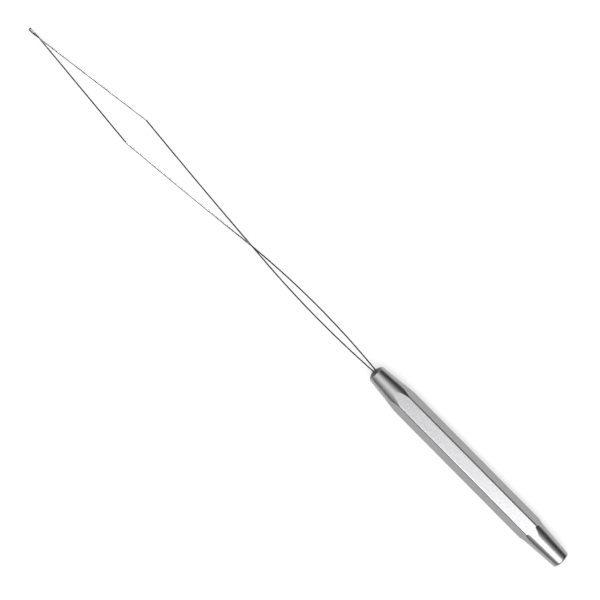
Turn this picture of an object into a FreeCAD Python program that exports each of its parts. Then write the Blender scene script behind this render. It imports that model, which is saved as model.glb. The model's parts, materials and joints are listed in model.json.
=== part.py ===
"""Fine-wire needle threader: a hexagonal metal handle with one loop of spring wire set in its nose.

The row frame: +X runs along the handle towards the wire's tip, +Z is up, and +Y is the left side as
seen from behind the handle. The origin is the middle of the handle's lower flat, on the table.

One wire makes the whole loop. From the nose its two strands bow apart (the stem), cross, open into a
long diamond (the mouth), cross again at the neck and close in a small eye. The strand that lies on top
at both crossings runs stem right, mouth left, eye right. The strand below it runs stem left, mouth
right, eye left. The wire is cut into stretches where it bends in use, with a small gap at each bend.
"""

import FreeCAD, Part
import math
import os
import Sketcher

doc = FreeCAD.newDocument("needle_threader")

# ---------------------------------------------------------------- driving dimensions, in millimetres

DIMENSIONS = {
    # the handle: drawn hexagon bar with both ends turned to a taper
    "across_flats": 6.0,
    "edge_radius": 0.5,
    "handle_length": 65.0,
    "nose_radius": 2.29,
    "nose_taper": 10.5,
    "nose_edge": 0.15,
    "crown_radius": 5.6,
    "butt_radius": 2.38,
    "butt_taper": 9.2,
    "butt_waist_radius": 3.03,
    "butt_heel": 1.7,
    "butt_heel_radius": 3.22,
    "butt_run_in": 0.4,
    "butt_rounding": 0.6,
    "bore_radius": 0.9,
    "bore_depth": 14.0,
    "drill_point": 0.54,
    # the adhesive that fills the bore and spreads over the nose face as a bead
    "plug_depth": 13.0,
    "bead_radius": 2.15,
    "bead_reach": 0.98,
    # the wire, and the gaps left in it at its bends
    "wire_diameter": 0.35,
    "strand_clearance": 0.02,
    "bend_gap": 0.05,
    "root_gap": 0.1,
    "open_gap": 0.08,
    # stations along the wire, each measured ahead of the handle's nose shoulder
    "tail_depth": 12.0,
    "root_reach": 1.15,
    "stem_reach": 2.2,
    "crossing_start_reach": 41.9,
    "crossing_reach": 43.9,
    "elbow_left_reach": 84.0,
    "elbow_right_reach": 84.45,
    "neck_reach": 117.3,
    "eye_left_reach": 119.58,
    "eye_right_reach": 119.24,
    "tip_reach": 120.56,
    # how far the wire lies left (+) or right (-) of the handle's axis at those stations
    "tail_left_y": 0.15,
    "tail_right_y": -0.5,
    "stem_left_y": 0.23,
    "stem_right_y": -0.6,
    "crossing_start_left_y": -0.18,
    "crossing_start_right_y": -0.48,
    "crossing_y": -0.31,
    "elbow_left_y": 3.8,
    "elbow_right_y": -3.65,
    "neck_y": 0.863,
    "eye_y": 0.937,
    "eye_half_width": 0.245,
    # how far each bowed stretch stands off its chord
    "stem_left_bow": 0.712,
    "stem_right_bow": 0.883,
    "rear_leg_bow": 0.12,
}

sheet = doc.addObject("Spreadsheet::Sheet", "Sheet")
for row, (alias, size) in enumerate(DIMENSIONS.items(), start=1):
    sheet.set(f"A{row}", alias)
    sheet.set(f"B{row}", str(size))
    sheet.setAlias(f"B{row}", alias)
doc.recompute()

# Expressions that several sub-parts share. SHOULDER is the x of the edge where the nose face begins.
SHOULDER = "Sheet.handle_length / 2"
BUTT_FACE = "-Sheet.handle_length / 2"
AXIS_HEIGHT = "Sheet.across_flats / 2"
CORNER_RADIUS = "Sheet.across_flats / sqrt(3)"
STRAND_LIFT = "(Sheet.wire_diameter + Sheet.strand_clearance) / 2"
CLEAR_OF_BAR = "Sheet.across_flats"


def value(expression):
    """The number an expression on the sheet gives now."""
    return float(sheet.evalExpression(expression))


def reach(alias):
    """The x, as an expression, of a station given ahead of the nose shoulder."""
    return f"{SHOULDER} + Sheet.{alias}"


def crown_x(radius):
    """The x, as an expression, of the nose's domed face at a radius from the axis."""
    dome = "Sheet.crown_radius"
    rim = f"sqrt({dome}^2 - Sheet.nose_radius^2)"
    return f"{SHOULDER} + sqrt({dome}^2 - ({radius})^2) - {rim}"


# ------------------------------------------------------------------------------------ sketch helpers


def new_body(label):
    body = doc.addObject("PartDesign::Body", label)
    body.Label = label
    return body


def new_sketch(body, name, plane):
    """A sketch on one of a body's own origin planes."""
    sketch = body.newObject("Sketcher::SketchObject", name)
    for feature in body.Origin.OriginFeatures:
        if feature.Role == plane:
            sketch.AttachmentSupport = [(feature, "")]
    sketch.MapMode = "FlatFace"
    return sketch


def bind(sketch, kind, geometry, expression):
    """Adds a dimension to a sketch and binds it to an expression on the sheet."""
    index = sketch.addConstraint(Sketcher.Constraint(kind, *geometry, value(expression)))
    sketch.setExpression(f"Constraints[{index}]", expression)


def pin_point(sketch, edge, end, x, y):
    """Fixes one end of an edge (1 its start, 2 its end, 3 a centre) at a place given from the origin."""
    bind(sketch, "DistanceX", (-1, 1, edge, end), x)
    bind(sketch, "DistanceY", (-1, 1, edge, end), y)


def add_edge(sketch, start, end, radius=None, side=1):
    """Adds a line, or an arc of a bound radius that bulges to the left (side 1) or right (side -1).

    Returns the edge's number and which of its ends lie at start and end. A sketch's arc always runs
    anticlockwise, so one that bulges to the left of the way from start to end is drawn backwards.
    """
    first = FreeCAD.Vector(value(start[0]), value(start[1]), 0)
    last = FreeCAD.Vector(value(end[0]), value(end[1]), 0)
    if radius is None:
        return sketch.addGeometry(Part.LineSegment(first, last)), 1, 2
    along = last - first
    left = FreeCAD.Vector(-along.y, along.x, 0).normalize()
    bend = value(radius)
    bow = bend - math.sqrt(bend**2 - (along.Length / 2) ** 2)
    middle = (first + last) / 2 + left * (side * bow)
    if side == 1:
        edge = sketch.addGeometry(Part.Arc(last, middle, first))
    else:
        edge = sketch.addGeometry(Part.Arc(first, middle, last))
    bind(sketch, "Radius", (edge,), radius)
    return (edge, 2, 1) if side == 1 else (edge, 1, 2)


def closed_outline(sketch, corners):
    """Draws a closed outline. A corner is (x, y) or (x, y, radius, side) if an arc leaves it."""
    edges = []
    for number, corner in enumerate(corners):
        following = corners[(number + 1) % len(corners)]
        edges.append(add_edge(sketch, corner[:2], following[:2], *corner[2:]))
    for number, (edge, first, _) in enumerate(edges):
        before, _, last = edges[number - 1]
        sketch.addConstraint(Sketcher.Constraint("Coincident", before, last, edge, first))
        pin_point(sketch, edge, first, *corners[number][:2])


def turn(body, kind, name, sketch):
    """Turns a sketch all the way round the body's x axis, as a Revolution or a Groove."""
    feature = body.newObject(f"PartDesign::{kind}", name)
    feature.Profile = sketch
    feature.ReferenceAxis = (sketch, ["H_Axis"])
    feature.Angle = 360
    return feature


def round_edges(body, name, base, chosen, radius):
    """Rounds the edges of a feature that a test picks out."""
    doc.recompute()
    names = [f"Edge{n}" for n, edge in enumerate(base.Shape.Edges, start=1) if chosen(edge)]
    fillet = body.newObject("PartDesign::Fillet", name)
    fillet.Base = (base, names)
    fillet.setExpression("Radius", radius)
    return fillet


# ----------------------------------------------------------------------------------------- the handle


def make_handle():
    """Hexagon bar with a flat down and a flat up, tapered at both ends, and bored from the nose."""
    body = new_body("handle")
    body.setExpression("Placement.Base.z", AXIS_HEIGHT)

    section = new_sketch(body, "bar_section", "YZ_Plane")
    section.setExpression("AttachmentOffset.Base.z", BUTT_FACE)
    half_side = f"{CORNER_RADIUS} / 2"
    half_flats = "Sheet.across_flats / 2"
    closed_outline(
        section,
        [
            (CORNER_RADIUS, "0"),
            (half_side, half_flats),
            (f"-{half_side}", half_flats),
            (f"-{CORNER_RADIUS}", "0"),
            (f"-{half_side}", f"-{half_flats}"),
            (half_side, f"-{half_flats}"),
        ],
    )
    bar = body.newObject("PartDesign::Pad", "bar")
    bar.Profile = section
    bar.setExpression("Length", f"{crown_x('0')} - ({BUTT_FACE})")
    long_edges = round_edges(
        body, "bar_edges", bar, lambda edge: edge.BoundBox.XLength > 1, "Sheet.edge_radius"
    )

    nose = new_sketch(body, "nose_outline", "XZ_Plane")
    closed_outline(
        nose,
        [
            (f"{SHOULDER} - Sheet.nose_taper", CORNER_RADIUS),
            (SHOULDER, "Sheet.nose_radius", "Sheet.crown_radius", 1),
            (crown_x("0"), "0"),
            (f"{SHOULDER} + {CLEAR_OF_BAR}", "0"),
            (f"{SHOULDER} + {CLEAR_OF_BAR}", CLEAR_OF_BAR),
            (f"{SHOULDER} - Sheet.nose_taper", CLEAR_OF_BAR),
        ],
    )
    turn(body, "Groove", "nose_turning", nose)

    butt = new_sketch(body, "butt_outline", "XZ_Plane")
    waist = f"{BUTT_FACE} + Sheet.butt_taper"
    heel = f"{waist} + Sheet.butt_heel"
    closed_outline(
        butt,
        [
            (BUTT_FACE, "Sheet.butt_radius"),
            (waist, "Sheet.butt_waist_radius"),
            (heel, "Sheet.butt_heel_radius"),
            (f"{heel} + Sheet.butt_run_in", CORNER_RADIUS),
            (f"{heel} + Sheet.butt_run_in", CLEAR_OF_BAR),
            (f"{BUTT_FACE} - {CLEAR_OF_BAR}", CLEAR_OF_BAR),
            (f"{BUTT_FACE} - {CLEAR_OF_BAR}", "0"),
            (BUTT_FACE, "0"),
        ],
    )
    butt_turning = turn(body, "Groove", "butt_turning", butt)

    def is_butt_rim(edge):
        return edge.BoundBox.XMax < value(BUTT_FACE) + 1e-6

    butt_rim = round_edges(body, "butt_rim", butt_turning, is_butt_rim, "Sheet.butt_rounding")

    def is_nose_rim(edge):
        flat_ring = edge.BoundBox.XLength < 1e-6
        return flat_ring and abs(edge.BoundBox.XMin - value(SHOULDER)) < 1e-6

    round_edges(body, "nose_rim", butt_rim, is_nose_rim, "Sheet.nose_edge")

    bore = new_sketch(body, "bore_outline", "XZ_Plane")
    floor = f"{SHOULDER} - Sheet.bore_depth"
    closed_outline(
        bore,
        [
            (f"{floor} - Sheet.drill_point", "0"),
            (f"{SHOULDER} + {CLEAR_OF_BAR}", "0"),
            (f"{SHOULDER} + {CLEAR_OF_BAR}", "Sheet.bore_radius"),
            (floor, "Sheet.bore_radius"),
        ],
    )
    turn(body, "Groove", "wire_bore", bore)
    return body


# ------------------------------------------------------------------------------- the adhesive and bead


def make_adhesive_plug():
    """Fills the bore round both wire tails and ends in a low rounded bead over the nose face."""
    body = new_body("adhesive_plug")
    body.setExpression("Placement.Base.z", AXIS_HEIGHT)
    outline = new_sketch(body, "plug_outline", "XZ_Plane")
    back = f"{SHOULDER} - Sheet.plug_depth"
    seat = crown_x("Sheet.bead_radius")
    apex = reach("bead_reach")
    height = f"({apex} - ({seat}))"
    bead_round = f"(Sheet.bead_radius^2 + {height}^2) / (2 * {height})"
    closed_outline(
        outline,
        [
            (back, "0"),
            (apex, "0", bead_round, -1),
            (seat, "Sheet.bead_radius", "Sheet.crown_radius", 1),
            (crown_x("Sheet.bore_radius"), "Sheet.bore_radius"),
            (back, "Sheet.bore_radius"),
        ],
    )
    turn(body, "Revolution", "plug_turning", outline)
    doc.recompute()
    whole = body.Shape.Volume

    tails = new_sketch(body, "tail_holes", "YZ_Plane")
    for side, lift in (("left", f"-({STRAND_LIFT})"), ("right", STRAND_LIFT)):
        across = f"Sheet.tail_{side}_y"
        centre = FreeCAD.Vector(value(across), value(lift), 0)
        circle = Part.Circle(centre, FreeCAD.Vector(0, 0, 1), value("Sheet.wire_diameter / 2"))
        hole = tails.addGeometry(circle)
        pin_point(tails, hole, 3, across, lift)
        bind(tails, "Radius", (hole,), "Sheet.wire_diameter / 2")
    pocket = body.newObject("PartDesign::Pocket", "tail_channels")
    pocket.Profile = tails
    pocket.Type = "ThroughAll"
    pocket.Reversed = True
    doc.recompute()
    assert body.Shape.Volume < whole - 1, "the wire tails' holes cut nothing"
    return body


# --------------------------------------------------------------------------------------------- the wire


def make_stretch(name, start, end, over, bow=None, side=1):
    """A flat-ended length of wire from start to end, straight or bowed to its left or right side.

    start and end are (x, y) expressions. A strand that lies over the other is a little above the
    handle's axis, and the strand under it is as much below.
    """
    body = new_body(name)
    lift = STRAND_LIFT if over else f"-({STRAND_LIFT})"
    body.setExpression("Placement.Base.z", f"{AXIS_HEIGHT} + {lift}")

    path = new_sketch(body, f"{name}_path", "XY_Plane")
    radius = None
    if bow is not None:
        chord = f"(({end[0]} - ({start[0]}))^2 + ({end[1]} - ({start[1]}))^2)"
        radius = f"({chord} / 4 + ({bow})^2) / (2 * ({bow}))"
    edge, first, last = add_edge(path, start, end, radius, side)
    pin_point(path, edge, first, *start)
    pin_point(path, edge, last, *end)
    doc.recompute()

    section = body.newObject("Sketcher::SketchObject", f"{name}_section")
    section.AttachmentSupport = [(path, "Edge1")]
    section.MapMode = "NormalToEdge"
    section.MapPathParameter = 0.0
    round_wire = Part.Circle(
        FreeCAD.Vector(0, 0, 0), FreeCAD.Vector(0, 0, 1), value("Sheet.wire_diameter / 2")
    )
    circle = section.addGeometry(round_wire)
    section.addConstraint(Sketcher.Constraint("Coincident", circle, 3, -1, 1))
    bind(section, "Radius", (circle,), "Sheet.wire_diameter / 2")
    doc.recompute()

    pipe = body.newObject("PartDesign::AdditivePipe", f"{name}_pipe")
    pipe.Profile = section
    pipe.Spine = (path, ["Edge1"])
    return body


def before(station, gap="Sheet.bend_gap"):
    """A stretch's end, half a gap short of a station."""
    return (f"{station[0]} - {gap} / 2", station[1])


def after(station, gap="Sheet.bend_gap"):
    """A stretch's start, half a gap past a station."""
    return (f"{station[0]} + {gap} / 2", station[1])


def make_strand(stem_side, mouth_side, over):
    """One strand from its tail in the bore to the neck, as separate stretches.

    stem_side and mouth_side say on which side the strand runs before and after the crossing.
    """
    tail_y = f"Sheet.tail_{stem_side}_y"
    tail = (f"{SHOULDER} - Sheet.tail_depth", tail_y)
    root = (reach("root_reach"), tail_y)
    stem = (reach("stem_reach"), f"Sheet.stem_{stem_side}_y")
    crossing_start = (reach("crossing_start_reach"), f"Sheet.crossing_start_{stem_side}_y")
    crossing = (reach("crossing_reach"), "Sheet.crossing_y")
    elbow = (reach(f"elbow_{mouth_side}_reach"), f"Sheet.elbow_{mouth_side}_y")
    neck = (reach("neck_reach"), "Sheet.neck_y")

    outward = 1 if stem_side == "left" else -1
    bow = f"Sheet.stem_{stem_side}_bow"
    sign = "+" if stem_side == "left" else "-"
    widest = (
        f"({stem[0]} + {crossing_start[0]}) / 2",
        f"({stem[1]} + {crossing_start[1]}) / 2 {sign} {bow}",
    )
    # each half of a shallow arc stands off its own chord by a quarter of the whole arc's bow
    half_bow = f"{bow} / 4"
    # the lower strand carries the eye, and the upper strand stops short of it at the open joint
    neck_gap = "Sheet.open_gap" if over else "Sheet.bend_gap"
    layer = "over" if over else "under"

    return [
        make_stretch(f"wire_tail_{stem_side}", tail, before(root, "Sheet.root_gap"), over),
        make_stretch(
            f"wire_foot_{stem_side}", after(root, "Sheet.root_gap"), before(stem), over
        ),
        make_stretch(
            f"wire_stem_rear_{stem_side}", after(stem), before(widest), over, half_bow, outward
        ),
        make_stretch(
            f"wire_stem_front_{stem_side}",
            after(widest),
            before(crossing_start),
            over,
            half_bow,
            outward,
        ),
        make_stretch(f"wire_crossing_{layer}", after(crossing_start), before(crossing), over),
        make_stretch(
            f"wire_rear_leg_{mouth_side}",
            after(crossing),
            before(elbow),
            over,
            "Sheet.rear_leg_bow",
        ),
        make_stretch(
            f"wire_front_leg_{mouth_side}", after(elbow), before(neck, neck_gap), over
        ),
    ]


def make_tip_eye():
    """The small eye past the neck. It climbs from the lower strand round the tip to the upper one.

    Its path leaves the sketch plane at the tip, so it is one pipe made along a path in space.
    """
    lift = value(STRAND_LIFT)
    axis_height = value(AXIS_HEIGHT)
    half_width = value("Sheet.eye_half_width")
    eye_y = value("Sheet.eye_y")
    neck_x = value(reach("neck_reach"))
    neck_y = value("Sheet.neck_y")
    tip_round = math.hypot(half_width, lift)
    turn_x = value(reach("tip_reach")) - tip_round

    def side_path(side, gap):
        """Neck, bend and start of the tip's turn, on one side of the eye."""
        sign = 1 if side == "left" else -1
        height = axis_height - sign * lift
        return [
            FreeCAD.Vector(neck_x + gap / 2, neck_y, height),
            FreeCAD.Vector(value(reach(f"eye_{side}_reach")), eye_y + sign * half_width, height),
            FreeCAD.Vector(turn_x, eye_y + sign * half_width, height),
        ]

    def softened(neck, bend, turn_start):
        """Two straight runs joined by an arc that takes up the shorter run's last two fifths."""
        back = (neck - bend).normalize()
        ahead = (turn_start - bend).normalize()
        shorter = min((neck - bend).Length, (turn_start - bend).Length)
        trim = 0.4 * shorter
        first = bend + back * trim
        last = bend + ahead * trim
        half_turn = back.getAngle(ahead) / 2
        radius = trim * math.tan(half_turn)
        inward = (back + ahead).normalize()
        centre = bend + inward * (radius / math.sin(half_turn))
        middle = centre - inward * radius
        return [
            Part.LineSegment(neck, first).toShape(),
            Part.Arc(first, middle, last).toShape(),
            Part.LineSegment(last, turn_start).toShape(),
        ]

    left = side_path("left", value("Sheet.bend_gap"))
    right = side_path("right", value("Sheet.open_gap"))
    tip = FreeCAD.Vector(turn_x + tip_round, eye_y, axis_height)
    edges = softened(*left)
    edges.append(Part.Arc(left[2], tip, right[2]).toShape())
    edges.extend(softened(*right))
    spine = Part.Wire(Part.__sortEdges__(edges))
    section = Part.Wire(
        Part.makeCircle(value("Sheet.wire_diameter / 2"), left[0], left[1] - left[0])
    )
    eye = doc.addObject("Part::Feature", "wire_tip_eye")
    eye.Label = "wire_tip_eye"
    eye.Shape = spine.makePipeShell([section], True, False)
    eye.Placement = FreeCAD.Placement()
    return eye


# ------------------------------------------------------------------------------------------ the assembly

nodes = [make_handle(), make_adhesive_plug()]
nodes += make_strand(stem_side="right", mouth_side="left", over=True)
nodes += make_strand(stem_side="left", mouth_side="right", over=False)
nodes.append(make_tip_eye())
doc.recompute()

for item in doc.Objects:
    assert "Invalid" not in item.State and "Error" not in item.State, f"{item.Label}: {item.State}"
for node in nodes:
    assert not node.Shape.isNull() and node.Shape.isValid(), f"{node.Label} is not a valid shape"
    assert len(node.Shape.Solids) == 1, f"{node.Label} is not one solid"

os.makedirs("parts", exist_ok=True)
for node in nodes:
    node.Shape.exportStep(f"parts/{node.Label}.step")
    box = node.Shape.BoundBox
    print(
        f"{node.Label:24s} volume {node.Shape.Volume:9.4f}  "
        f"x {box.XMin:8.3f} {box.XMax:8.3f}  y {box.YMin:7.3f} {box.YMax:7.3f}  "
        f"z {box.ZMin:6.3f} {box.ZMax:6.3f}"
    )
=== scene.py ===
import json
import math
from collections import namedtuple

import bmesh
import bpy
from mathutils import Matrix, Vector


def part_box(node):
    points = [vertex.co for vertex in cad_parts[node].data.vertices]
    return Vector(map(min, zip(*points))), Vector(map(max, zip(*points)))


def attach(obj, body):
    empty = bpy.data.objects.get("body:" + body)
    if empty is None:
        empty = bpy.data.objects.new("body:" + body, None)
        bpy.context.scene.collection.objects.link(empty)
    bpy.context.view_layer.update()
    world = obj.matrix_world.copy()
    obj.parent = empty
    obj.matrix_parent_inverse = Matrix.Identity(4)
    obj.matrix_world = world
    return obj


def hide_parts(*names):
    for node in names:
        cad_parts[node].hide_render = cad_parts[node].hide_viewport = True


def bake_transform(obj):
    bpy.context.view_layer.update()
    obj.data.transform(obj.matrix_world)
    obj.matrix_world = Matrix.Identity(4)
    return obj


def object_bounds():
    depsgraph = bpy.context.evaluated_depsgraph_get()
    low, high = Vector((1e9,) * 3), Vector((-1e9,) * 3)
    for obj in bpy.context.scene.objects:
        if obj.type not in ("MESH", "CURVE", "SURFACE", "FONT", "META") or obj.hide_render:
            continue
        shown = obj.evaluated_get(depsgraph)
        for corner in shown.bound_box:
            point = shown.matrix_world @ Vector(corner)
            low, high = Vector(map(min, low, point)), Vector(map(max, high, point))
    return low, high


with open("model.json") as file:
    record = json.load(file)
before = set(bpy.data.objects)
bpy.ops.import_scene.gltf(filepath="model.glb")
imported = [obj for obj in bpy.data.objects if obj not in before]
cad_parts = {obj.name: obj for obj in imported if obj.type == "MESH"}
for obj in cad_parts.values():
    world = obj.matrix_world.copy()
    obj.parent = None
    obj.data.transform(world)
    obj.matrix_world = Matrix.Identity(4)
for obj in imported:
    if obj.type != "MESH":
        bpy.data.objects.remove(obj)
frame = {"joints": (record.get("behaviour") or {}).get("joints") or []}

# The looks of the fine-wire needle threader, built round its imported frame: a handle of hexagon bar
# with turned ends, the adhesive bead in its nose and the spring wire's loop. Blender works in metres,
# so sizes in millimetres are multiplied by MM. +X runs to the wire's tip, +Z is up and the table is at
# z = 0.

cad_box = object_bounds()
centre = (cad_box[0] + cad_box[1]) / 2

MM = 0.001
FULL_TURN = 2 * math.pi
UPWARDS = math.radians(90)

# ------------------------------------------------------------------------- sizes, read from the frame

handle_low, handle_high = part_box("handle")
AXIS_Z = (handle_low.z + handle_high.z) / 2
HALF_FLATS = (handle_high.z - handle_low.z) / 2
BUTT_FACE = handle_low.x
SHOULDER = -handle_low.x
CORNER_RADIUS = HALF_FLATS * 2 / math.sqrt(3)

tail_low, tail_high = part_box("wire_tail_right")
WIRE_RADIUS = (tail_high.z - tail_low.z) / 2

# ------------------------------------------------------------------------- sizes, as the CAD has them

# the handle: its bar, its turned nose, its turned butt and its bore
EDGE_RADIUS = 0.5 * MM
NOSE_RADIUS = 2.29 * MM
NOSE_TAPER = 10.5 * MM
NOSE_EDGE = 0.15 * MM
CROWN_RADIUS = 5.6 * MM
BUTT_RADIUS = 2.38 * MM
BUTT_TAPER = 9.2 * MM
WAIST_RADIUS = 3.03 * MM
BUTT_HEEL = 1.7 * MM
HEEL_RADIUS = 3.22 * MM
BUTT_RUN_IN = 0.4 * MM
BUTT_ROUNDING = 0.6 * MM
BORE_RADIUS = 0.9 * MM
BORE_DEPTH = 14.0 * MM
DRILL_POINT = 0.54 * MM

NOSE_SLOPE = (CORNER_RADIUS - NOSE_RADIUS) / NOSE_TAPER
BUTT_SLOPE = (WAIST_RADIUS - BUTT_RADIUS) / BUTT_TAPER
WAIST = BUTT_FACE + BUTT_TAPER
HEEL = WAIST + BUTT_HEEL
# the butt from its face to the bar: a cone up to the waist, a steeper heel and a short, steep run-in
BUTT_OUTLINE = [
    (BUTT_FACE, BUTT_RADIUS),
    (WAIST, WAIST_RADIUS),
    (HEEL, HEEL_RADIUS),
    (HEEL + BUTT_RUN_IN, CORNER_RADIUS),
]

# the adhesive's depth in the bore, the bow of the legs behind the elbows, and how far past the neck the
# two sides of the eye begin
PLUG_DEPTH = 13.0 * MM
REAR_LEG_BOW = 0.12 * MM
EYE_LEFT_BEND = 2.28 * MM
EYE_RIGHT_BEND = 1.94 * MM


# ---------------------------------------------------------------------------------------- mesh helpers


def skin(name, rings):
    """A closed mesh through rings of points, all of one size. A ring of a single point is a pole."""
    form = bmesh.new()
    made = [[form.verts.new(point) for point in ring] for ring in rings]
    for ring, following in zip(made, made[1:]):
        count = max(len(ring), len(following))
        for n in range(count):
            corners = []
            for side, number in ((ring, n), (ring, n + 1), (following, n + 1), (following, n)):
                vertex = side[number % len(side)]
                if vertex not in corners:
                    corners.append(vertex)
            form.faces.new(corners)
    for face in form.faces:
        face.smooth = True
    for end in (made[0], made[-1]):
        if len(end) > 1:
            for edge in form.faces.new(end).edges:
                edge.smooth = False
    bmesh.ops.recalc_face_normals(form, faces=form.faces)
    mesh = bpy.data.meshes.new(name)
    form.to_mesh(mesh)
    form.free()
    piece = bpy.data.objects.new(name, mesh)
    bpy.context.scene.collection.objects.link(piece)
    return piece


def arc_corner(corner, back, ahead, radius, steps):
    """Points of the arc that rounds a corner of a flat outline. back and ahead point away from it."""
    back, ahead = back.normalized(), ahead.normalized()
    half = back.angle(ahead) / 2
    middle = corner + (back + ahead).normalized() * (radius / math.sin(half))
    cut = radius / math.tan(half)
    first, last = corner + back * cut - middle, corner + ahead * cut - middle
    sweep = math.pi - 2 * half
    points = []
    for n in range(steps + 1):
        part = n / steps
        weighted = first * math.sin((1 - part) * sweep) + last * math.sin(part * sweep)
        points.append(middle + weighted / math.sin(sweep))
    return points


def between(start, end, count):
    """Evenly spaced numbers from start to end, without either."""
    return [start + (end - start) * n / (count + 1) for n in range(1, count + 1)]


def round_axis(x, radius, angle):
    """A point beside the handle's axis. Angle 0 is +Y."""
    return Vector((x, radius * math.cos(angle), AXIS_Z + radius * math.sin(angle)))


def read_along(points, place):
    """The second value of a rising chain of pairs where the first is place. Past its end, it runs on."""
    runs = list(zip(points, points[1:]))
    (start, low), (end, high) = next((run for run in runs if place <= run[1][0]), runs[-1])
    return low + (place - start) / (end - start) * (high - low)


# ------------------------------------------------------------------------------------------ the handle

FACETS = 6
# from the middle of one flat to the middle of the next
FACET_TURN = FULL_TURN / FACETS
# how far the crease between a turned end and a flat is broken
CREASE_SOFTNESS = 0.012 * MM
# rings stand at these distances either side of a crease
BESIDE_CREASE = [distance * MM for distance in (0.6, 0.3, 0.15, 0.08, 0.03)]
# an extra column stands this far inside each side of a flat, so that it is shaded as flat
EDGE_MARGIN = math.radians(0.35)
FLAT_COLUMNS = 21
EDGE_COLUMNS = 5
# extra rings this close to the bore's two ends, and round its mouth, keep them crisp
BORE_MARGIN = 0.1 * MM
MOUTH_MARGIN = 0.04 * MM
FACE_RINGS = 7
NOSE_EDGE_STEPS = 6
NOSE_RINGS = 12
FLAT_RINGS = 24
HEEL_RINGS = 16
BUTT_RINGS = 16
BUTT_EDGE_STEPS = 12


def bar_radius(angle):
    """How far the rounded hexagon's outline stands from the axis, at an angle from a flat's middle."""
    half = FACET_TURN / 2
    off_flat = abs((angle + half) % FACET_TURN - half)
    arc_centre = (HALF_FLATS - EDGE_RADIUS) / math.cos(half)
    flat_end = math.atan2(arc_centre * math.sin(half), HALF_FLATS)
    if off_flat <= flat_end:
        return HALF_FLATS / math.cos(off_flat)
    off_corner = half - off_flat
    reach = arc_centre * math.sin(off_corner)
    return arc_centre * math.cos(off_corner) + math.sqrt(EDGE_RADIUS**2 - reach**2)


def columns():
    """Angles round the handle: closely spaced over each rounded edge, evenly over each flat."""
    flat_end = math.atan((HALF_FLATS - EDGE_RADIUS) * math.tan(FACET_TURN / 2) / HALF_FLATS)
    beside_edge = flat_end - EDGE_MARGIN
    offsets = [-flat_end, -beside_edge]
    offsets += between(-beside_edge, beside_edge, FLAT_COLUMNS)
    offsets += [beside_edge, flat_end]
    offsets += between(flat_end, FACET_TURN - flat_end, EDGE_COLUMNS)
    return [UPWARDS + FACET_TURN * n + offset for n in range(FACETS) for offset in offsets]


def turned_radius(x):
    """Radius of the turned ends at x, running on over the bar as if it were round."""
    if x > 0:
        return NOSE_RADIUS + (SHOULDER - x) * NOSE_SLOPE
    return read_along(BUTT_OUTLINE, x)


def nose_crease(limit):
    """The x where the turned nose meets the bar, at the angle where the bar's radius is limit."""
    return SHOULDER - (limit - NOSE_RADIUS) / NOSE_SLOPE


def butt_crease(limit):
    """The x where the turned butt meets the bar, at the angle where the bar's radius is limit."""
    return read_along([(radius, x) for x, radius in BUTT_OUTLINE], limit)


def crown_x(radius):
    """The x of the nose's domed face at a radius from the axis."""
    rim = math.sqrt(CROWN_RADIUS**2 - NOSE_RADIUS**2)
    return SHOULDER + math.sqrt(CROWN_RADIUS**2 - radius**2) - rim


def worn(turned, limit):
    """The smaller of two radii, with the crease between them slightly broken."""
    apart = turned - limit
    return (turned + limit - math.sqrt(apart**2 + CREASE_SOFTNESS**2)) / 2


def nose_end():
    """The outline from the bore's floor out over the nose's domed face and its edge, as (x, radius)."""
    dome = NOSE_RADIUS / CROWN_RADIUS
    inwards = Vector((dome, -math.sqrt(1 - dome**2)))
    backwards = Vector((-1, NOSE_SLOPE))
    rim = Vector((SHOULDER, NOSE_RADIUS))
    edge = arc_corner(rim, inwards, backwards, NOSE_EDGE, NOSE_EDGE_STEPS)
    floor, mouth = SHOULDER - BORE_DEPTH, crown_x(BORE_RADIUS)
    outline = [(x, BORE_RADIUS) for x in (floor, floor + BORE_MARGIN, mouth - BORE_MARGIN, mouth)]
    outline.append((crown_x(BORE_RADIUS + MOUTH_MARGIN), BORE_RADIUS + MOUTH_MARGIN))
    outline += [(crown_x(radius), radius) for radius in between(BORE_RADIUS, edge[0].y, FACE_RINGS)]
    return outline + [(point.x, point.y) for point in edge]


def butt_end():
    """The outline over the butt's rounding and in over its face, as (x, radius)."""
    rim = Vector((BUTT_FACE, BUTT_RADIUS))
    edge = arc_corner(rim, Vector((1, BUTT_SLOPE)), Vector((0, -1)), BUTT_ROUNDING, BUTT_EDGE_STEPS)
    outline = [(point.x, point.y) for point in edge]
    return outline + [(BUTT_FACE, radius) for radius in between(edge[-1].y, 0, FACE_RINGS)]


def across_crease(x):
    """Places close round a crease, from ahead of it to behind it."""
    return [x + d for d in BESIDE_CREASE] + [x] + [x - d for d in BESIDE_CREASE[::-1]]


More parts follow.
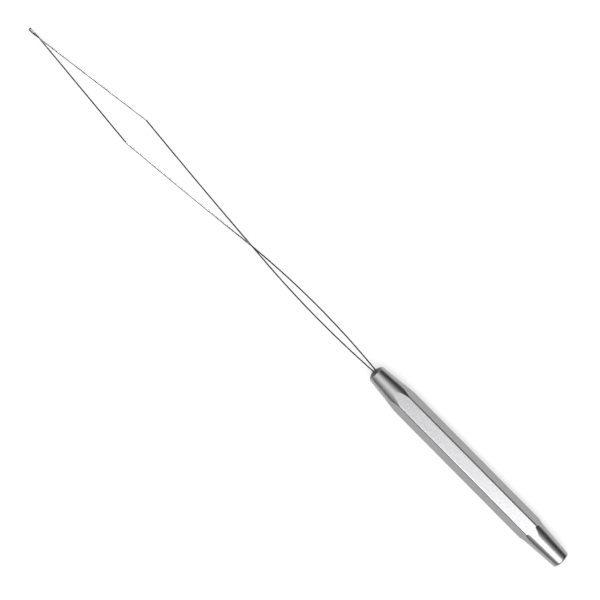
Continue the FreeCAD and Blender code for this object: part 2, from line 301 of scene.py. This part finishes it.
def make_handle():
    """The handle, as lines that run from the bore's floor over the nose and bar to the butt's face."""
    front, rear = nose_end(), butt_end()
    margin = BESIDE_CREASE[0]
    angles = columns()
    lines = []
    for angle in angles:
        limit = bar_radius(angle - UPWARDS)
        nose, butt = nose_crease(limit), butt_crease(limit)
        heel = butt - margin - BUTT_HEEL
        along = between(front[-1][0], nose + margin, NOSE_RINGS)
        along += across_crease(nose)
        along += between(nose - margin, butt + margin, FLAT_RINGS)
        along += across_crease(butt)
        along += between(butt - margin, heel, HEEL_RINGS)
        along += [heel] + between(heel, rear[0][0], BUTT_RINGS)
        lines.append(front + [(x, worn(turned_radius(x), limit)) for x in along] + rear)

    rings = [[Vector((front[0][0] - DRILL_POINT, 0, AXIS_Z))]]
    for stations in zip(*lines):
        rings.append([round_axis(x, radius, angle) for angle, (x, radius) in zip(angles, stations)])
    rings.append([Vector((BUTT_FACE, 0, AXIS_Z))])
    piece = skin("handle_body", rings)

    # The faces between the two creases are drawn bar. The first vertex is the pole in the bore, and a
    # face's row is the number of the ring that its lowest vertex is in.
    piece.data.materials.append(turned_steel())
    piece.data.materials.append(drawn_steel())
    first = 1 + len(front) + NOSE_RINGS + len(BESIDE_CREASE)
    last = first + len(BESIDE_CREASE) * 2 + FLAT_RINGS
    for polygon in piece.data.polygons:
        row = (min(polygon.vertices[:]) + len(angles) - 1) // len(angles)
        if first <= row <= last:
            polygon.material_index = 1
    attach(piece, "handle")
    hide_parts("handle")


# --------------------------------------------------------------------------------------- the materials

# most of a noise pattern's values lie between these two
PATTERN_LOW = 0.3
PATTERN_HIGH = 0.7


def new_material(name):
    """A material with only a Principled shader, and that shader."""
    material = bpy.data.materials.new(name)
    material.use_nodes = True
    nodes = material.node_tree.nodes
    nodes.clear()
    shader = nodes.new("ShaderNodeBsdfPrincipled")
    output = nodes.new("ShaderNodeOutputMaterial")
    material.node_tree.links.new(shader.outputs["BSDF"], output.inputs["Surface"])
    return material, shader


def object_place(material):
    """Each point's place on the object, in metres."""
    return material.node_tree.nodes.new("ShaderNodeTexCoord").outputs["Object"]


def noise(material, source, stretch, detail):
    """A noise pattern's value. stretch gives its cycles per millimetre along each axis."""
    nodes, links = material.node_tree.nodes, material.node_tree.links
    mapping = nodes.new("ShaderNodeMapping")
    mapping.inputs["Scale"].default_value = [cycles / MM for cycles in stretch]
    links.new(source, mapping.inputs["Vector"])
    texture = nodes.new("ShaderNodeTexNoise")
    texture.inputs["Scale"].default_value = 1.0
    texture.inputs["Detail"].default_value = detail
    links.new(mapping.outputs["Vector"], texture.inputs["Vector"])
    return texture.outputs["Fac"]


def spread(material, source, low, high):
    """A number that runs from low to high over a pattern's middle range."""
    node = material.node_tree.nodes.new("ShaderNodeMapRange")
    node.inputs["From Min"].default_value = PATTERN_LOW
    node.inputs["From Max"].default_value = PATTERN_HIGH
    node.inputs["To Min"].default_value = low
    node.inputs["To Max"].default_value = high
    material.node_tree.links.new(source, node.inputs["Value"])
    return node.outputs["Result"]


def ramp_colour(material, source, dark, light):
    """A colour that runs from dark to light over a pattern's middle range."""
    ramp = material.node_tree.nodes.new("ShaderNodeValToRGB")
    stops = ramp.color_ramp.elements
    stops[0].position = PATTERN_LOW
    stops[0].color = (*dark, 1)
    stops[1].position = PATTERN_HIGH
    stops[1].color = (*light, 1)
    material.node_tree.links.new(source, ramp.inputs["Fac"])
    return ramp.outputs["Color"]


def bump(material, source, depth, under=None):
    """A bump of a given depth from a pattern's value, over another bump if there is one."""
    node = material.node_tree.nodes.new("ShaderNodeBump")
    node.inputs["Strength"].default_value = 1.0
    node.inputs["Distance"].default_value = depth
    material.node_tree.links.new(source, node.inputs["Height"])
    if under is not None:
        material.node_tree.links.new(under, node.inputs["Normal"])
    return node.outputs["Normal"]


def drawn_steel():
    """The bar's flats as drawn: satin, with a fine lengthwise grain and a finer speckle."""
    material, shader = new_material("drawn_steel")
    links = material.node_tree.links
    where = object_place(material)
    grain = noise(material, where, stretch=(0.12, 6, 6), detail=4)
    speckle = noise(material, where, stretch=(2.2, 2.2, 2.2), detail=3)
    cloud = noise(material, where, stretch=(0.25, 0.4, 0.4), detail=2)
    colour = ramp_colour(material, speckle, dark=(0.295, 0.295, 0.3), light=(0.335, 0.335, 0.34))
    roughness = spread(material, cloud, low=0.22, high=0.26)
    fine = bump(material, grain, depth=0.0008 * MM)
    relief = bump(material, speckle, depth=0.0009 * MM, under=fine)
    shader.inputs["Metallic"].default_value = 1.0
    links.new(colour, shader.inputs["Base Color"])
    links.new(roughness, shader.inputs["Roughness"])
    links.new(relief, shader.inputs["Normal"])
    return material


def turned_steel():
    """The turned ends: a little brighter than the flats, with fine tool rings round the axis."""
    material, shader = new_material("turned_steel")
    links = material.node_tree.links
    where = object_place(material)
    rings = noise(material, where, stretch=(14, 0.02, 0.02), detail=3)
    cloud = noise(material, where, stretch=(1.0, 0.5, 0.5), detail=2)
    colour = ramp_colour(material, rings, dark=(0.34, 0.34, 0.345), light=(0.37, 0.37, 0.375))
    roughness = spread(material, cloud, low=0.27, high=0.29)
    relief = bump(material, rings, depth=0.0003 * MM)
    shader.inputs["Metallic"].default_value = 1.0
    links.new(colour, shader.inputs["Base Color"])
    links.new(roughness, shader.inputs["Roughness"])
    links.new(relief, shader.inputs["Normal"])
    return material


def spring_steel():
    """Hard-drawn wire: dark and glossy, with die lines along it, laid out by the wire's UV map."""
    material, shader = new_material("spring_steel")
    links = material.node_tree.links
    chart = material.node_tree.nodes.new("ShaderNodeUVMap")
    chart.uv_map = "along_wire"
    lines = noise(material, chart.outputs["UV"], stretch=(0.3, 14, 1), detail=3)
    cloud = noise(material, chart.outputs["UV"], stretch=(0.5, 1.5, 1), detail=2)
    colour = ramp_colour(material, cloud, dark=(0.034, 0.034, 0.035), light=(0.05, 0.05, 0.052))
    roughness = spread(material, lines, low=0.07, high=0.11)
    relief = bump(material, lines, depth=0.0006 * MM)
    shader.inputs["Metallic"].default_value = 1.0
    links.new(colour, shader.inputs["Base Color"])
    links.new(roughness, shader.inputs["Roughness"])
    links.new(relief, shader.inputs["Normal"])
    return material


def cured_adhesive():
    """Dark cured adhesive: glossy, with a little flow texture and dust in its skin."""
    material, shader = new_material("cured_adhesive")
    links = material.node_tree.links
    where = object_place(material)
    flow = noise(material, where, stretch=(1.6, 1.6, 1.6), detail=2)
    specks = noise(material, where, stretch=(14, 14, 14), detail=2)
    colour = ramp_colour(material, specks, dark=(0.012, 0.012, 0.013), light=(0.035, 0.034, 0.033))
    roughness = spread(material, specks, low=0.16, high=0.26)
    relief = bump(material, flow, depth=0.02 * MM)
    links.new(colour, shader.inputs["Base Color"])
    links.new(roughness, shader.inputs["Roughness"])
    links.new(relief, shader.inputs["Normal"])
    return material


# ------------------------------------------------------------------------------------ the adhesive bead

BEAD_RADIUS = 2.2 * MM
# how far it is drawn up each wire, and over what distance from the wire that fades
BEAD_CLIMB = 0.1 * MM
BEAD_FADE = 0.12 * MM
# how far its rim sinks behind the nose's face
BEAD_SINK = 0.03 * MM
# how much the rim falls short of its radius, as shares of it: on one side, and in waves round it, each
# given by its size, how many there are in a turn, and its start
BEAD_LOPSIDED = 0.012
BEAD_WAVES = [(0.007, 3, 1), (0.004, 5, 0)]
BEAD_SIDES = 144
BEAD_RINGS = 39


def rim_share(angle):
    """How far the bead's uneven rim reaches at an angle, as a share of its radius."""
    waves = sum(size * (1 + math.sin(count * angle + start)) for size, count, start in BEAD_WAVES)
    return 1 - BEAD_LOPSIDED * (1 + math.cos(angle)) - waves


def make_bead(exits):
    """The bead that stands out of the nose, drawn up round each wire, and its plug in the bore."""
    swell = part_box("adhesive_plug")[1].x - crown_x(0)

    def surface(part, angle, share):
        radius = BEAD_RADIUS * part * share
        y, z = radius * math.cos(angle), AXIS_Z + radius * math.sin(angle)
        x = crown_x(radius) + swell * (1 - part**2)
        for strand in exits:
            gap = max(0, math.hypot(y - strand.y, z - strand.z) - WIRE_RADIUS)
            x += BEAD_CLIMB * math.exp(-gap / BEAD_FADE)
        return Vector((x, y, z))

    angles = [FULL_TURN * n / BEAD_SIDES for n in range(BEAD_SIDES)]
    shares = [rim_share(angle) for angle in angles]
    rings = [[surface(0, 0, 1)]]
    for part in between(0, 1, BEAD_RINGS):
        rings.append([surface(part, angle, share) for angle, share in zip(angles, shares)])
    rim = [BEAD_RADIUS * share for share in shares]
    rings.append([round_axis(crown_x(r) - BEAD_SINK, r, angle) for angle, r in zip(angles, rim)])
    plug_end = SHOULDER - PLUG_DEPTH
    for x in (crown_x(BORE_RADIUS) - BEAD_SINK, plug_end):
        rings.append([round_axis(x, BORE_RADIUS, angle) for angle in angles])
    rings.append([Vector((plug_end, 0, AXIS_Z))])
    piece = skin("adhesive_bead", rings)
    piece.data.materials.append(cured_adhesive())
    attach(piece, "handle")
    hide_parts("adhesive_plug")


# -------------------------------------------------------------------------------------------- the wire

joints = {joint["name"]: joint for joint in frame["joints"]}
pivots = {name: Vector(joint["pos_m"]) for name, joint in joints.items()}

# the distance between a path's points
STEP = 0.05 * MM
# over what length the path is averaged to round its bends: the tight ones begin just before the neck
SOFT_BEND = 0.9 * MM
TIGHT_BEND = 0.3 * MM
TIGHT_BEFORE_NECK = 1.5 * MM
# a tube has a ring of WIRE_SIDES points each RING_STEP, or each RING_TURN in a bend
RING_STEP = 0.6 * MM
RING_TURN = math.radians(5)
WIRE_SIDES = 20
# the eye's end runs on for this many steps inside the leg it meets, at this share of the wire's radius
SPIGOT_STEPS = 4
SPIGOT_SHARE = 0.93
# how far each bend spreads along the wire, either side of its joint
ROOT_SPREAD = 0.3 * MM
STEM_SPREAD = 0.45 * MM
STEM_MIDDLE_SPREAD = 6 * MM
CROSSING_SPREAD = 0.9 * MM
ELBOW_SPREAD = 2.5 * MM
NECK_SPREAD = 0.6 * MM

# The two strands from the handle outwards. Each stretch belongs to one joint and stands for some nodes,
# and the wire is cut halfway between one joint and the next.
Stretch = namedtuple("Stretch", "name joint spread nodes")
OVER = [
    Stretch("wire_root_right", "wire_sway", ROOT_SPREAD, ["wire_tail_right", "wire_foot_right"]),
    Stretch("wire_stem_right_rear", "stem_squeeze", STEM_SPREAD, ["wire_stem_rear_right"]),
    Stretch(
        "wire_stem_right_front", "stem_mid_right_bend", STEM_MIDDLE_SPREAD, ["wire_stem_front_right"]
    ),
    Stretch("wire_crossing_upper", "crossing_over_bend", CROSSING_SPREAD, ["wire_crossing_over"]),
    Stretch("wire_leg_left_rear", "mouth_squeeze", CROSSING_SPREAD, ["wire_rear_leg_left"]),
    Stretch("wire_leg_left_front", "elbow_left_bend", ELBOW_SPREAD, ["wire_front_leg_left"]),
]
UNDER = [
    Stretch("wire_root_left", "wire_sway", ROOT_SPREAD, ["wire_tail_left", "wire_foot_left"]),
    Stretch("wire_stem_left_rear", "stem_root_left_bend", STEM_SPREAD, ["wire_stem_rear_left"]),
    Stretch("wire_stem_left_front", "stem_mid_left_bend", STEM_MIDDLE_SPREAD, ["wire_stem_front_left"]),
    Stretch("wire_crossing_lower", "crossing_under_bend", CROSSING_SPREAD, ["wire_crossing_under"]),
    Stretch("wire_leg_right_rear", "mouth_right_bend", CROSSING_SPREAD, ["wire_rear_leg_right"]),
    Stretch("wire_leg_right_front", "elbow_right_bend", ELBOW_SPREAD, ["wire_front_leg_right"]),
    Stretch("wire_eye", "neck_bend", NECK_SPREAD, ["wire_tip_eye"]),
]


def straight(start, end):
    """Points along a straight run."""
    count = max(2, round((end - start).length / STEP))
    return [start.lerp(end, n / count) for n in range(count + 1)]


def arc_through(start, middle, end):
    """Points along the arc through three points."""
    first, second = middle - start, end - start
    normal = first.cross(second)
    across = second.length_squared * normal.cross(first) + first.length_squared * second.cross(normal)
    hub = start + across / (2 * normal.length_squared)
    sweep = (start - hub).angle(middle - hub) + (middle - hub).angle(end - hub)
    side = normal.normalized().cross(start - hub)
    count = max(2, round((start - hub).length * sweep / STEP))
    points = []
    for n in range(count + 1):
        turned = sweep * n / count
        points.append(hub + (start - hub) * math.cos(turned) + side * math.sin(turned))
    return points


def bowed(start, end, bow):
    """An arc whose middle stands off its chord by bow, to the left of the way it runs."""
    along = (end - start).normalized()
    return arc_through(start, (start + end) / 2 + Vector((-along.y, along.x, 0)) * bow, end)


def softened(points, tight_from):
    """Rounds the bends: each point becomes the mean of the path for half a bend's length either way."""
    soft = []
    for n, point in enumerate(points):
        bend = TIGHT_BEND if point.x > tight_from else SOFT_BEND
        half = min(round(bend / 2 / STEP), n, len(points) - 1 - n)
        near = points[n - half : n + half + 1]
        soft.append(sum(near, Vector()) / len(near))
    return soft


def strand_runs(stretches):
    """The runs that make up one strand's middle line, from its tail in the bore to the neck."""
    low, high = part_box(stretches[0].nodes[0])
    tail_y, height = (low.y + high.y) / 2, (low.z + high.z) / 2
    tail = Vector((low.x, tail_y, height))
    root = Vector((pivots["wire_sway"].x, tail_y, height))
    # the joints from the stem to the elbow, which both strands have, and the neck that they share
    names = [stretch.joint for stretch in stretches[1:6]] + ["neck_bend"]
    bends = [Vector((pivots[name].x, pivots[name].y, height)) for name in names]
    stem, widest, crossing_start, crossing, elbow, neck = bends
    return [
        straight(tail, root),
        straight(root, stem),
        arc_through(stem, widest, crossing_start),
        straight(crossing_start, crossing),
        bowed(crossing, elbow, REAR_LEG_BOW),
        straight(elbow, neck),
    ]


def eye_runs(start_z, end_z):
    """The small eye past the neck, climbing from the lower strand round the tip to the upper one."""
    low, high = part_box("wire_tip_eye")
    neck = pivots["neck_bend"]
    left, right = high.y - WIRE_RADIUS, low.y + WIRE_RADIUS
    middle_y, half_width = (left + right) / 2, (left - right) / 2
    tip_round = math.hypot(half_width, (end_z - start_z) / 2)
    turn_x = high.x - WIRE_RADIUS - tip_round
    start = Vector((neck.x, neck.y, start_z))
    left_bend = Vector((neck.x + EYE_LEFT_BEND, left, start_z))
    left_turn = Vector((turn_x, left, start_z))
    tip = Vector((turn_x + tip_round, middle_y, (start_z + end_z) / 2))
    right_turn = Vector((turn_x, right, end_z))
    right_bend = Vector((neck.x + EYE_RIGHT_BEND, right, end_z))
    end = Vector((neck.x, neck.y, end_z))
    return [
        straight(start, left_bend),
        straight(left_bend, left_turn),
        arc_through(left_turn, tip, right_turn),
        straight(right_turn, right_bend),
        straight(right_bend, end),
    ]


def joined(runs):
    """Runs end to end as one list of points, with the bends rounded, most tightly at the eye."""
    points = list(runs[0])
    for run in runs[1:]:
        points += run[1:]
    return softened(points, pivots["neck_bend"].x - TIGHT_BEFORE_NECK)


def ring_numbers(tangents, lengths, first, last):
    """Which points of a path get a ring: one after each RING_STEP, or sooner in a bend."""
    chosen = [first]
    for n in range(first + 1, last):
        far = lengths[n] - lengths[chosen[-1]] > RING_STEP
        if far or tangents[n].angle(tangents[chosen[-1]]) > RING_TURN:
            chosen.append(n)
    return chosen + [last]


def make_tube(name, path, tangents, lengths, first, last, spigot):
    """A closed tube along part of a path, with a UV map that runs along and round the wire in metres.

    With a spigot it runs on, a little thinner, for that many steps past its last point.
    """
    numbers = ring_numbers(tangents, lengths, first, last)
    radii = [WIRE_RADIUS] * len(numbers)
    if spigot:
        numbers += [last + 1, last + spigot]
        radii += [WIRE_RADIUS * SPIGOT_SHARE] * 2
    rings = []
    for n, radius in zip(numbers, radii):
        side = tangents[n].cross(Vector((0, 0, 1))).normalized()
        up = side.cross(tangents[n])
        ring = []
        for k in range(WIRE_SIDES):
            angle = FULL_TURN * k / WIRE_SIDES
            ring.append(path[n] + (side * math.cos(angle) + up * math.sin(angle)) * radius)
        rings.append(ring)
    piece = skin(name, rings)

    # A face that spans the last and the first point of a ring has its first point's turn counted on.
    mesh = piece.data
    chart = mesh.uv_layers.new(name="along_wire").data
    for polygon in mesh.polygons:
        ks = [mesh.loops[loop].vertex_index % WIRE_SIDES for loop in polygon.loop_indices]
        wraps = max(ks) - min(ks) > WIRE_SIDES / 2
        for loop, k in zip(polygon.loop_indices, ks):
            ring = mesh.loops[loop].vertex_index // WIRE_SIDES
            turn = (k + WIRE_SIDES if wraps and k < WIRE_SIDES / 2 else k) / WIRE_SIDES
            chart[loop].uv = (lengths[numbers[ring]], turn * FULL_TURN * WIRE_RADIUS)
    return piece


def make_strand(path, stretches, steel, spigot=0):
    """Makes a tube for each stretch along a path. The path's last steps can be left for a spigot."""
    path_end = len(path) - 1
    tangents = []
    for n in range(len(path)):
        tangents.append((path[min(n + 1, path_end)] - path[max(n - 1, 0)]).normalized())
    lengths = [0.0]
    for n in range(1, len(path)):
        lengths.append(lengths[-1] + (path[n] - path[n - 1]).length)
    pieces = []
    first = 0
    for stretch, following in zip(stretches, stretches[1:] + [None]):
        if following:
            cut_x = (pivots[stretch.joint].x + pivots[following.joint].x) / 2
            last = next(n for n in range(first, len(path)) if path[n].x >= cut_x)
            piece = make_tube(stretch.name, path, tangents, lengths, first, last, 0)
        else:
            last = path_end - spigot
            piece = make_tube(stretch.name, path, tangents, lengths, first, last, spigot)
        piece.data.materials.append(steel)
        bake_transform(piece)
        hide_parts(*stretch.nodes)
        pieces.append(piece)
        first = last
    return pieces


def make_wire():
    """The loop, as one path cut at the neck. Gives its pieces and where its strands leave the nose."""
    over, under = strand_runs(OVER), strand_runs(UNDER)
    over_start, under_start = over[0][0], under[0][0]
    eye = eye_runs(under_start.z, over_start.z)
    loop = joined(under + eye + [run[::-1] for run in reversed(over)])
    neck_number = sum(len(run) - 1 for run in under + eye)
    over_path = loop[neck_number:][::-1]
    under_path = loop[: neck_number + 1 + SPIGOT_STEPS]
    steel = spring_steel()
    pieces = make_strand(over_path, OVER, steel)
    pieces += make_strand(under_path, UNDER, steel, SPIGOT_STEPS)
    exits = [Vector((SHOULDER, start.y, start.z)) for start in (over_start, under_start)]
    return pieces, exits


# ------------------------------------------------------------------------- floor, lights and the camera

# in metres; the floor lies just under the table's height, so that it shares no face with the handle
FLOOR_RADIUS = 4
FLOOR_SIDES = 96
FLOOR_DROP = 0.01 * MM
FLOOR_GREY = 0.6
FLOOR_ROUGHNESS = 0.9

# where the sky's glow is, as azimuth and elevation, how much it is drawn out along X, and its brightness
# at each height of the ramp, whose 0 is the horizon round the glow and 1 its middle
GLOW_TOWARDS = (58, 80.6)
GLOW_SQUEEZE = 0.3
GLOW = ((0, 0.07), (0.42, 0.075), (0.6, 0.21), (0.75, 0.47), (0.87, 0.9), (0.95, 1.3), (1, 1.7))

# the lens and sensor are in millimetres, as Blender has them, the field is the width that is seen, and
# the camera stands over a point this far aside from the object's centre
LENS = 100
SENSOR_WIDTH = 36
FIELD = 148 * MM
ASIDE_X = -1.78 * MM
ASIDE_Y = 0.54 * MM
CAMERA_TURN = math.radians(225.29)
CLIP_NEAR = 0.01
CLIP_FAR = 20


def make_floor():
    """A pale round floor, wide enough that its edge stays out of the views from above."""
    bpy.ops.mesh.primitive_circle_add(
        vertices=FLOOR_SIDES, radius=FLOOR_RADIUS, fill_type="NGON", location=(0, 0, -FLOOR_DROP)
    )
    floor = bpy.context.object
    floor.name = "floor"
    material, shader = new_material("pale_floor")
    shader.inputs["Base Color"].default_value = (FLOOR_GREY, FLOOR_GREY, FLOOR_GREY, 1)
    shader.inputs["Roughness"].default_value = FLOOR_ROUGHNESS
    shader.inputs["Specular IOR Level"].default_value = 0.0
    floor.data.materials.append(material)
    return floor


def sky_point(azimuth, elevation):
    """A unit vector towards a place above the table. Azimuth 0 is +X and 90 is +Y."""
    a, e = math.radians(azimuth), math.radians(elevation)
    return Vector((math.cos(a) * math.cos(e), math.sin(a) * math.cos(e), math.sin(e)))


def softbox(name, shape, size, azimuth, elevation, distance, radiance):
    """A lamp that faces the object, its width along the object's length. Sizes are in metres.

    Its power follows from the radiance it shows. It casts no shadows, and the camera doesn't see it.
    """
    lamp = bpy.data.lights.new(name, "AREA")
    lamp.shape = shape
    lamp.size, lamp.size_y = size
    area = size[0] * size[1] * (math.pi / 4 if shape == "ELLIPSE" else 1)
    lamp.energy = radiance * math.pi * area
    lamp.use_shadow = False
    holder = bpy.data.objects.new(name, lamp)
    towards = sky_point(azimuth, elevation)
    holder.location = centre + towards * distance
    along = (Vector((1, 0, 0)) - towards * towards.x).normalized()
    holder.rotation_euler = Matrix((along, towards.cross(along), towards)).transposed().to_euler()
    holder.visible_camera = False
    bpy.context.scene.collection.objects.link(holder)
    return holder


def make_sky():
    """A glow overhead that fades towards a dim horizon at the sides, and far less towards the ends.

    It is what a long diffuser above the tool gives. Squeezing each direction's x draws the glow out
    along X.
    """
    world = bpy.data.worlds.new("studio")
    bpy.context.scene.world = world
    world.use_nodes = True
    nodes, links = world.node_tree.nodes, world.node_tree.links
    direction = nodes.new("ShaderNodeTexCoord").outputs["Generated"]
    squeeze = nodes.new("ShaderNodeVectorMath")
    squeeze.operation = "MULTIPLY"
    squeeze.inputs[1].default_value = (GLOW_SQUEEZE, 1, 1)
    squeezed = nodes.new("ShaderNodeVectorMath")
    squeezed.operation = "NORMALIZE"
    towards_glow = nodes.new("ShaderNodeVectorMath")
    towards_glow.operation = "DOT_PRODUCT"
    towards_glow.inputs[1].default_value = sky_point(*GLOW_TOWARDS)
    ramp = nodes.new("ShaderNodeValToRGB")
    stops = ramp.color_ramp.elements
    while len(stops) < len(GLOW):
        stops.new(0.5)
    for stop, (height, light) in zip(stops, GLOW):
        stop.position = height
        stop.color = (light, light, light, 1)
    links.new(direction, squeeze.inputs[0])
    links.new(squeeze.outputs["Vector"], squeezed.inputs[0])
    links.new(squeezed.outputs["Vector"], towards_glow.inputs[0])
    links.new(towards_glow.outputs["Value"], ramp.inputs["Fac"])
    links.new(ramp.outputs["Color"], nodes["Background"].inputs["Color"])


def light_only(lamp, name, pieces):
    """Keeps a lamp's light to some pieces, as flags and snoots do in a studio."""
    lit = bpy.data.collections.new(name)
    for piece in pieces:
        lit.objects.link(piece)
    lamp.light_linking.receiver_collection = lit


def make_lights(floor, wire):
    """The sky and four lamps: the strip is what two of the mouth's legs mirror, and they show light."""
    softbox("key", "ELLIPSE", (0.92, 0.92), azimuth=150, elevation=58, distance=1.2, radiance=3.8)
    softbox("side", "RECTANGLE", (1.6, 0.9), azimuth=88, elevation=33, distance=1.3, radiance=0.3)
    strip = softbox(
        "strip", "RECTANGLE", (1.6, 4.6), azimuth=286.9, elevation=28, distance=8.0, radiance=85
    )
    light_only(strip, "lit_by_strip", wire)
    backdrop_lamp = softbox(
        "backdrop_lamp", "ELLIPSE", (2, 2), azimuth=0, elevation=90, distance=2.0, radiance=3.0
    )
    light_only(backdrop_lamp, "lit_by_backdrop_lamp", [floor])
    make_sky()


def make_camera():
    """Straight down on the object, with its long side across the picture's diagonal."""
    data = bpy.data.cameras.new("camera")
    data.sensor_width = SENSOR_WIDTH
    data.lens = LENS
    data.clip_start, data.clip_end = CLIP_NEAR, CLIP_FAR
    holder = bpy.data.objects.new("camera", data)
    distance = FIELD * data.lens / data.sensor_width
    holder.location = centre + Vector((ASIDE_X, ASIDE_Y, distance))
    holder.rotation_euler = (0, 0, CAMERA_TURN)
    bpy.context.scene.collection.objects.link(holder)
    bpy.context.scene.camera = holder


wire_pieces, wire_exits = make_wire()
make_bead(wire_exits)
make_handle()
make_lights(make_floor(), wire_pieces)
make_camera()
bpy.context.scene.view_settings.view_transform = "Standard"
